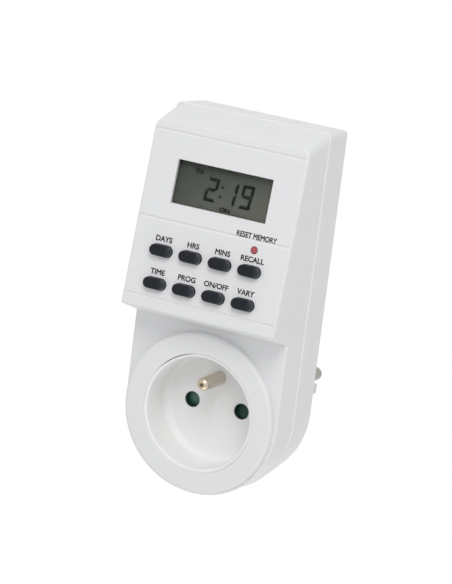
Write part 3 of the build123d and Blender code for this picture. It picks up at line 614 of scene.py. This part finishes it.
addOverlay(finishes["earthNickel"], wornTip, wearAndPaintedLightLook["tipTone"])
addOverlay(finishes["earthNickel"], paintedDarkReflection, wearAndPaintedLightLook["reflectionTone"])
addOverlay(finishes["keyNavy"], paintedKeyHighlights, wearAndPaintedLightLook["keyHighlightTone"])
addOverlay(finishes["shutterGreen"], paintedLightRamp, wearAndPaintedLightLook["rampLightTone"])
addOverlay(finishes["socketWhite"], paintedHoleShade, wearAndPaintedLightLook["holeShadeTone"])
addOverlay(finishes["socketWhite"], paintedJointShadow, wearAndPaintedLightLook["jointShadowTone"])
print("marks of use done")


# circuit boards: green lacquer with lighter copper runs under it
boardLook = {
    "nodes": ["control_board", "power_board"],
    "lacquer": (0.012, 0.10, 0.045, 1),
    "copper": (0.03, 0.20, 0.09, 1),
    "runScale": 420.0,
    "runEdge": 0.42,
    "runDepth": 0.00004,
    "runBump": 0.3,
    "rough": 0.3,
}


def makeBoard(look):
    material, tree, shader, _ = newMaterial("boardGreen")
    cells = tree.nodes.new("ShaderNodeTexVoronoi")
    cells.distance = "CHEBYCHEV"
    cells.feature = "F1"
    cells.inputs["Scale"].default_value = look["runScale"]
    tree.links.new(objectPlace(tree), cells.inputs["Vector"])
    edge = addMath(tree, "GREATER_THAN", cells.outputs["Distance"], look["runEdge"])
    tree.links.new(addColorMix(tree, edge, look["copper"], look["lacquer"]), shader.inputs["Base Color"])
    shader.inputs["Roughness"].default_value = look["rough"]
    addBump(tree, shader, edge, look["runDepth"], look["runBump"])
    dress(look["nodes"], material)


makeBoard(boardLook)
print("boards done")


# the leaning panel's own frame: x to the right, y up the panel, z out of it
panelPlace = {"lean": 9.6, "lowerEdge": (0, -0.0662, 0.0321)}


def panelMatrix(place):
    lean = math.radians(place["lean"])
    across = Vector((1, 0, 0))
    up = Vector((0, math.sin(lean), math.cos(lean)))
    out = across.cross(up)
    matrix = Matrix((across, up, out)).transposed().to_4x4()
    matrix.translation = Vector(place["lowerEdge"])
    return matrix


onPanel = panelMatrix(panelPlace)
panelUp = onPanel.to_3x3() @ Vector((0, 1, 0))


def newPiece(name, mesh, material):
    mesh.materials.clear()
    mesh.materials.append(material)
    piece = bpy.data.objects.new(name, mesh)
    scene.collection.objects.link(piece)
    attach(piece, "housing")
    return piece


# display: grey-green glass, darker towards the top left
displayLook = {
    "dark": (0.040, 0.044, 0.037, 1),
    "pale": (0.091, 0.093, 0.081, 1),
    "paleRight": 0.5,
    "paleDown": 1.3,
    "middle": 0.0443,
    "reach": 0.024,
    "grain": 5200.0,
    "grainDepth": 0.00001,
    "grainBump": 0.1,
    "rough": 0.5,
    "shine": 0.08,
}


def makeDisplay(look):
    material, tree, shader, _ = newMaterial("displayGrey")
    where = objectPlace(tree)
    towards = Vector((look["paleRight"], 0, 0)) - panelUp * look["paleDown"]
    slant = tree.nodes.new("ShaderNodeVectorMath")
    slant.operation = "DOT_PRODUCT"
    slant.inputs[1].default_value = towards
    tree.links.new(where, slant.inputs[0])
    centre = (onPanel @ Vector((0, look["middle"], 0))).dot(towards)
    fade = addFade(tree, slant.outputs["Value"], centre - look["reach"], centre + look["reach"], smooth=True)
    tree.links.new(addColorMix(tree, fade, look["dark"], look["pale"]), shader.inputs["Base Color"])
    shader.inputs["Roughness"].default_value = look["rough"]
    shader.inputs["Specular IOR Level"].default_value = look["shine"]
    addBump(tree, shader, addNoise(tree, where, look["grain"]), look["grainDepth"], look["grainBump"])
    dress(["display_panel"], material)


makeDisplay(displayLook)
print("display done")


# clear pane over the display, a little thinner at the back than its solid
paneLook = {
    "tint": (0.95, 0.97, 0.95, 1),
    "ior": 1.15,
    "cloud": 160,
    "gloss": (0.02, 0.07),
    "gap": 0.00006,
    "weld": 1e-6,
    "flatAngle": 0.01,
    "backReach": 1e-5,
}


def makePaneFinish(look):
    material, tree, shader, out = newMaterial("paneClear")
    shader.inputs["Base Color"].default_value = look["tint"]
    shader.inputs["Transmission Weight"].default_value = 1
    shader.inputs["IOR"].default_value = look["ior"]
    gloss = tree.nodes.new("ShaderNodeMapRange")
    gloss.inputs["To Min"].default_value = look["gloss"][0]
    gloss.inputs["To Max"].default_value = look["gloss"][1]
    tree.links.new(addNoise(tree, objectPlace(tree), look["cloud"]), gloss.inputs["Value"])
    tree.links.new(gloss.outputs["Result"], shader.inputs["Roughness"])
    # light passes straight through to the display
    path = tree.nodes.new("ShaderNodeLightPath")
    clear = tree.nodes.new("ShaderNodeBsdfTransparent")
    mix = tree.nodes.new("ShaderNodeMixShader")
    tree.links.new(path.outputs["Is Shadow Ray"], mix.inputs[0])
    tree.links.new(shader.outputs[0], mix.inputs[1])
    tree.links.new(clear.outputs[0], mix.inputs[2])
    tree.links.new(mix.outputs[0], out.inputs["Surface"])
    return material


def makePane(look):
    mesh = nodes["display_window"].data.copy()
    work = bmesh.new()
    work.from_mesh(mesh)
    bmesh.ops.remove_doubles(work, verts=work.verts, dist=look["weld"])
    bmesh.ops.dissolve_limit(work, angle_limit=look["flatAngle"], verts=work.verts, edges=work.edges)
    fromPanel = onPanel.inverted()
    deepest = min((fromPanel @ v.co).z for v in work.verts)
    outward = onPanel.to_3x3() @ Vector((0, 0, 1))
    for v in work.verts:
        if (fromPanel @ v.co).z < deepest + look["backReach"]:
            v.co += outward * look["gap"]
    work.to_mesh(mesh)
    work.free()
    pane = newPiece("displayPane", mesh, makePaneFinish(look))
    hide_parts("display_window")


makePane(paneLook)
print("pane done")


# digits on the display: bars set on points by a node tree
digitLook = {
    "digits": {"2": -0.0049, "1": 0.00237, "9": 0.00825},
    "colon": (-0.00125, (0.00165, -0.00165)),
    "middle": 0.04385,
    "depth": 0.00297,
    "thickness": 0.00006,
    "width": 0.0044,
    "height": 0.0082,
    "barWidth": 0.00115,
    "barGap": 0.00020,
    "endCut": 0.00062,
    "dotSize": 0.0009,
    "slant": 5.5,
    "middleShare": 0.8,
    "ink": (0.016, 0.018, 0.015),
    "deepShare": 0.8,
    "gloss": (0.5, 0.6),
    "shine": 0.03,
}
segmentsLit = {"2": "abged", "1": "bc", "9": "abcdfg"}


def newTree(name, inputs):
    tree = bpy.data.node_groups.new(name, "GeometryNodeTree")
    tree.is_modifier = True
    tree.interface.new_socket(name="Geometry", in_out="INPUT", socket_type="NodeSocketGeometry")
    kinds = {"length": "NodeSocketFloat", "count": "NodeSocketInt", "finish": "NodeSocketMaterial"}
    for label, kind in inputs:
        tree.interface.new_socket(name=label, in_out="INPUT", socket_type=kinds[kind])
    tree.interface.new_socket(name="Geometry", in_out="OUTPUT", socket_type="NodeSocketGeometry")
    return tree, tree.nodes.new("NodeGroupInput"), tree.nodes.new("NodeGroupOutput")


def finishTree(tree, geometry, material, result):
    real = tree.nodes.new("GeometryNodeRealizeInstances")
    paint = tree.nodes.new("GeometryNodeSetMaterial")
    tree.links.new(geometry, real.inputs[0])
    tree.links.new(real.outputs[0], paint.inputs["Geometry"])
    tree.links.new(material, paint.inputs["Material"])
    tree.links.new(paint.outputs[0], result.inputs[0])


def ownValue(tree, name, kind):
    # a value that each point carries
    attribute = tree.nodes.new("GeometryNodeInputNamedAttribute")
    attribute.data_type = kind
    attribute.inputs["Name"].default_value = name
    return attribute.outputs["Attribute"]


def barTree():
    # a thin bar with its ends cut slanting on one side, turned and stretched by each point's own values
    labels = [
        ("Bar Length", "length"), ("Bar Width", "length"), ("Bar Thickness", "length"),
        ("End Cut", "length"), ("Finish", "finish"),
    ]
    tree, given, result = newTree("displayBars", labels)
    block = tree.nodes.new("GeometryNodeMeshCube")
    # the block reaches half a unit each way, and both ends are cut
    place = splitPlace(tree, tree.nodes.new("GeometryNodeInputPosition").outputs[0])
    inner = addMath(tree, "SUBTRACT", 0.5, place["Y"])
    cut = addMath(tree, "MULTIPLY", addMath(tree, "MULTIPLY", given.outputs["End Cut"], 2), inner)
    span = addMath(tree, "SUBTRACT", given.outputs["Bar Length"], cut)
    corners = joinPlace(
        tree,
        X=addMath(tree, "MULTIPLY", place["X"], span),
        Y=addMath(tree, "MULTIPLY", place["Y"], given.outputs["Bar Width"]),
        Z=addMath(tree, "MULTIPLY", place["Z"], given.outputs["Bar Thickness"]),
    )
    shape = tree.nodes.new("GeometryNodeSetPosition")
    tree.links.new(block.outputs["Mesh"], shape.inputs["Geometry"])
    tree.links.new(corners, shape.inputs["Position"])
    spread = tree.nodes.new("GeometryNodeInstanceOnPoints")
    tree.links.new(given.outputs["Geometry"], spread.inputs["Points"])
    tree.links.new(shape.outputs["Geometry"], spread.inputs["Instance"])
    rotation = tree.nodes.new("FunctionNodeEulerToRotation")
    tree.links.new(joinPlace(tree, Z=ownValue(tree, "turn", "FLOAT")), rotation.inputs[0])
    tree.links.new(rotation.outputs[0], spread.inputs["Rotation"])
    tree.links.new(ownValue(tree, "stretch", "FLOAT_VECTOR"), spread.inputs["Scale"])
    finishTree(tree, spread.outputs["Instances"], given.outputs["Finish"], result)
    return tree


def runTree(tree, points, values, turns=(), stretches=()):
    # puts the tree on a mesh of points and returns the plain mesh that it makes
    mesh = bpy.data.meshes.new("treePoints")
    mesh.from_pydata(points, [], [])
    if turns:
        mesh.attributes.new("turn", "FLOAT", "POINT").data.foreach_set("value", turns)
    if stretches:
        flat = [number for stretch in stretches for number in stretch]
        mesh.attributes.new("stretch", "FLOAT_VECTOR", "POINT").data.foreach_set("vector", flat)
    carrier = bpy.data.objects.new("treePoints", mesh)
    scene.collection.objects.link(carrier)
    modifier = carrier.modifiers.new("tree", "NODES")
    modifier.node_group = tree
    for item in tree.interface.items_tree:
        if item.in_out == "INPUT" and item.name in values:
            modifier[item.identifier] = values[item.name]
    graph = bpy.context.evaluated_depsgraph_get()
    made = bpy.data.meshes.new_from_object(carrier.evaluated_get(graph), depsgraph=graph)
    carrier.modifiers.remove(modifier)
    bpy.data.objects.remove(carrier)
    bpy.data.meshes.remove(mesh)
    return made


def makeInk(name, look):
    deep = tuple(c * look["deepShare"] for c in look["ink"])
    return makePlastic(name, {
        "tone": look["ink"], "deep": deep, "gloss": look["gloss"], "bump": 0.0, "shine": look["shine"],
    })


def makeDigits(look):
    ink = makeInk("displayInk", look)
    bar = look["barWidth"]
    halfX, halfY = (look["width"] - bar) / 2, (look["height"] - bar) / 2
    barLength = look["width"] - look["barGap"]
    uprightLength = look["height"] / 2 - look["barGap"]
    across, upright = (1, 1, 1), (uprightLength / barLength, 1, 1)
    half = ((look["width"] - look["middleShare"] * bar) / barLength, 0.5, 1)
    # place, turn and stretch of each bar; its long side faces out, and the middle bar is two halves
    quarter = math.pi / 2
    segments = {
        "a": [(0, halfY, 0, across)],
        "d": [(0, -halfY, 2 * quarter, across)],
        "g": [(0, bar / 4, 2 * quarter, half), (0, -bar / 4, 0, half)],
        "f": [(-halfX, look["height"] / 4, quarter, upright)],
        "e": [(-halfX, -look["height"] / 4, quarter, upright)],
        "b": [(halfX, look["height"] / 4, -quarter, upright)],
        "c": [(halfX, -look["height"] / 4, -quarter, upright)],
    }
    points, turns, stretches = [], [], []
    for digit, centre in look["digits"].items():
        for letter in segmentsLit[digit]:
            for x, y, turn, stretch in segments[letter]:
                points.append((centre + x, y, 0))
                turns.append(turn)
                stretches.append(stretch)
    tree = barTree()
    barValues = {
        "Bar Length": barLength, "Bar Width": bar, "Bar Thickness": look["thickness"],
        "End Cut": look["endCut"], "Finish": ink,
    }
    bars = runTree(tree, points, barValues, turns, stretches)
    colonX, colonHeights = look["colon"]
    dotValues = {
        "Bar Length": look["dotSize"], "Bar Width": look["dotSize"], "Bar Thickness": look["thickness"],
        "End Cut": 0.0, "Finish": ink,
    }
    dots = runTree(tree, [(colonX, y, 0) for y in colonHeights], dotValues, [0.0, 0.0], [across, across])
    lean = Matrix.Identity(4)
    lean[0][1] = math.tan(math.radians(look["slant"]))
    place = onPanel @ Matrix.Translation((0, look["middle"], -look["depth"])) @ lean
    for name, mesh in (("displayDigits", bars), ("displayColon", dots)):
        mesh.transform(place)
        newPiece(name, mesh, ink)
    return ink


finishes["displayInk"] = makeDigits(digitLook)
print("digits done")


# words: short plain labels over the keys and two small marks on the display
labelLook = {
    "capHeight": 0.00185,
    "weight": 0.00009,
    "thickness": 0.00003,
    "capShare": 0.73,
    "ink": (0.012, 0.015, 0.022),
    "deepShare": 0.85,
    "gloss": (0.45, 0.6),
    "shine": 0.25,
    "keyPitch": 0.01112,
    "keyBlockX": -0.0008,
    "rows": {
        0.0203: ("DAYS", "HRS", "MINS", "RECALL"),
        0.0090: ("TIME", "PROG", "ON/OFF", "VARY"),
    },
    "rowLift": 0.0040,
    "reset": ("RESET MEMORY", 0.0158, 0.0320),
    "resetNarrow": 0.84,
    "marks": {"TU": (-0.01075, 0.0492), "ON": (0.0013, 0.03805)},
    "markHeight": 0.0015,
    "markWeight": 0.00014,
    "markWide": 1.25,
}


def wordMesh(words, capHeight, weight, look, place):
    # the bevel makes the thin strokes heavier and closes the letters, then they are pressed flat
    curve = bpy.data.curves.new("words", "FONT")
    curve.body = words
    curve.size = capHeight / look["capShare"]
    curve.bevel_depth = weight
    curve.bevel_resolution = 0
    curve.align_x = "CENTER"
    curve.align_y = "CENTER"
    carrier = bpy.data.objects.new("words", curve)
    scene.collection.objects.link(carrier)
    graph = bpy.context.evaluated_depsgraph_get()
    mesh = bpy.data.meshes.new_from_object(carrier.evaluated_get(graph), depsgraph=graph)
    bpy.data.objects.remove(carrier)
    bpy.data.curves.remove(curve)
    low = min(v.co.y for v in mesh.vertices)
    high = max(v.co.y for v in mesh.vertices)
    flat = Matrix.Scale(look["thickness"] / weight, 4, (0, 0, 1))
    mesh.transform(place @ flat @ Matrix.Translation((0, -(low + high) / 2, 0)))
    return mesh


def joinMeshes(name, meshes):
    work = bmesh.new()
    for mesh in meshes:
        work.from_mesh(mesh)
        bpy.data.meshes.remove(mesh)
    joined = bpy.data.meshes.new(name)
    work.to_mesh(joined)
    work.free()
    return joined


def makeLabels(look):
    ink = makeInk("labelInk", look)
    meshes = []
    for rise, words in look["rows"].items():
        for column, word in enumerate(words):
            x = look["keyBlockX"] + (column - (len(words) - 1) / 2) * look["keyPitch"]
            place = onPanel @ Matrix.Translation((x, rise + look["rowLift"], 0))
            meshes.append(wordMesh(word, look["capHeight"], look["weight"], look, place))
    word, x, rise = look["reset"]
    place = onPanel @ Matrix.Translation((x, rise, 0)) @ Matrix.Scale(look["resetNarrow"], 4, (1, 0, 0))
    meshes.append(wordMesh(word, look["capHeight"], look["weight"], look, place))
    newPiece("keyLabels", joinMeshes("keyLabels", meshes), ink)
    meshes = []
    wide = Matrix.Scale(look["markWide"], 4, (1, 0, 0))
    for word, (x, rise) in look["marks"].items():
        place = onPanel @ Matrix.Translation((x, rise, -digitLook["depth"])) @ wide
        meshes.append(wordMesh(word, look["markHeight"], look["markWeight"], look, place))
    newPiece("displayMarks", joinMeshes("displayMarks", meshes), finishes["displayInk"])


makeLabels(labelLook)
print("labels done")


# housing screws with a cross in the head, one tree for all four
screwLook = {
    "lowerX": 0.017077,
    "sides": 32,
    "headRadius": 0.002,
    "headHeight": 0.0016,
    "shankRadius": 0.0013,
    "slotLength": 0.0024,
    "slotWidth": 0.00055,
    "slotDepth": 0.0009,
}


def screwTree():
    labels = [
        ("Sides", "count"), ("Head Radius", "length"), ("Head Height", "length"),
        ("Shank Radius", "length"), ("Shank Length", "length"),
        ("Slot Length", "length"), ("Slot Width", "length"), ("Slot Depth", "length"), ("Finish", "finish"),
    ]
    tree, given, result = newTree("crossScrews", labels)

    def moved(geometry, height):
        shift = tree.nodes.new("GeometryNodeTransform")
        tree.links.new(geometry, shift.inputs["Geometry"])
        tree.links.new(joinPlace(tree, Z=height), shift.inputs["Translation"])
        return shift.outputs[0]

    def rod(radius, length, middle):
        rodNode = tree.nodes.new("GeometryNodeMeshCylinder")
        tree.links.new(given.outputs["Sides"], rodNode.inputs["Vertices"])
        tree.links.new(given.outputs[radius], rodNode.inputs["Radius"])
        tree.links.new(given.outputs[length], rodNode.inputs["Depth"])
        return moved(rodNode.outputs["Mesh"], middle)

    def slot(first, second):
        box = tree.nodes.new("GeometryNodeMeshCube")
        deep = addMath(tree, "MULTIPLY", given.outputs["Slot Depth"], 2)
        size = joinPlace(tree, X=given.outputs[first], Y=given.outputs[second], Z=deep)
        tree.links.new(size, box.inputs["Size"])
        return moved(box.outputs["Mesh"], given.outputs["Head Height"])

    headMiddle = addMath(tree, "MULTIPLY", given.outputs["Head Height"], 0.5)
    shankMiddle = addMath(tree, "MULTIPLY", given.outputs["Shank Length"], -0.5)
    head = rod("Head Radius", "Head Height", headMiddle)
    shank = rod("Shank Radius", "Shank Length", shankMiddle)
    cut = tree.nodes.new("GeometryNodeMeshBoolean")
    cut.operation = "DIFFERENCE"
    tree.links.new(head, cut.inputs["Mesh 1"])
    tree.links.new(slot("Slot Length", "Slot Width"), cut.inputs["Mesh 2"])
    tree.links.new(slot("Slot Width", "Slot Length"), cut.inputs["Mesh 2"])
    join = tree.nodes.new("GeometryNodeJoinGeometry")
    tree.links.new(cut.outputs["Mesh"], join.inputs[0])
    tree.links.new(shank, join.inputs[0])
    spread = tree.nodes.new("GeometryNodeInstanceOnPoints")
    tree.links.new(given.outputs["Geometry"], spread.inputs["Points"])
    tree.links.new(join.outputs[0], spread.inputs["Instance"])
    finishTree(tree, spread.outputs["Instances"], given.outputs["Finish"], result)
    return tree


def makeScrews(look):
    low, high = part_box("housing_screws")
    # built standing on Z, then laid along the depth with the heads to the back
    headStart = high.y - look["headHeight"]
    upperZ, lowerZ = high.z - look["headRadius"], low.z + look["headRadius"]
    places = [(high.x - look["headRadius"], upperZ), (look["lowerX"], lowerZ)]
    points = [(side * x, -z, headStart) for x, z in places for side in (-1, 1)]
    values = {
        "Sides": look["sides"], "Head Radius": look["headRadius"], "Head Height": look["headHeight"],
        "Shank Radius": look["shankRadius"], "Shank Length": headStart - low.y,
        "Slot Length": look["slotLength"], "Slot Width": look["slotWidth"], "Slot Depth": look["slotDepth"],
        "Finish": finishes["screwSteel"],
    }
    mesh = runTree(screwTree(), points, values)
    mesh.transform(Matrix.Rotation(math.radians(-90), 4, "X"))
    screws = newPiece("coverScrews", mesh, finishes["screwSteel"])
    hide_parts("housing_screws")


makeScrews(screwLook)
print("screws done")
